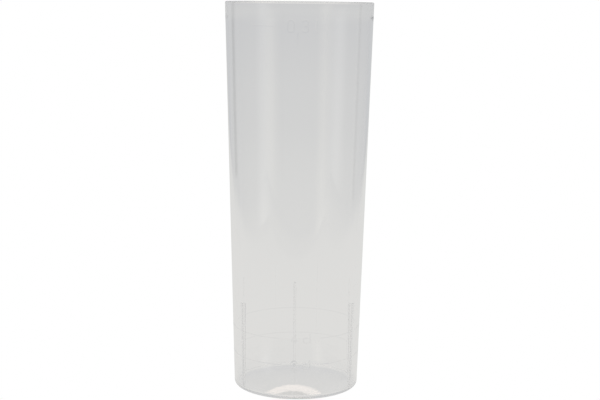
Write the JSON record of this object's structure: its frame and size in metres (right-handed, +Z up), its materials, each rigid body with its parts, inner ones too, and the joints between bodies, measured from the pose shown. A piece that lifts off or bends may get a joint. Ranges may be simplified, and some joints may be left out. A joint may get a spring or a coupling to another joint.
{
  "type": "drinking tumbler",
  "caption": "Tall clear plastic stacking tumbler, slightly tapered, with raised measure rings, a fill tick and inner stacking ribs.",
  "frame": {"origin": "on the cup's axis, in the plane that the foot ring stands on", "axes": "+Z up along the axis to the rim; -Y is the front, where the figures are; +Y is the back, where one stacking rib stands"},
  "size_m": [0.0582, 0.0582, 0.1535],
  "materials": {
    "clear_plastic": "clear polystyrene, high gloss, nearly colourless",
    "raised_marks": "the same clear polystyrene, slightly rounded and scattering at the edges of the marks"
  },
  "bodies": {
    "root": {"cup_shell": "clear_plastic", "stacking_rib_back": "clear_plastic", "stacking_rib_left": "clear_plastic", "stacking_rib_right": "clear_plastic", "mark_ring_2cl": "raised_marks", "mark_ring_4cl": "raised_marks", "fill_line": "raised_marks", "figures_2cl": "raised_marks", "figures_4cl": "raised_marks", "figures_300ml": "raised_marks"}
  },
  "joints": []
}
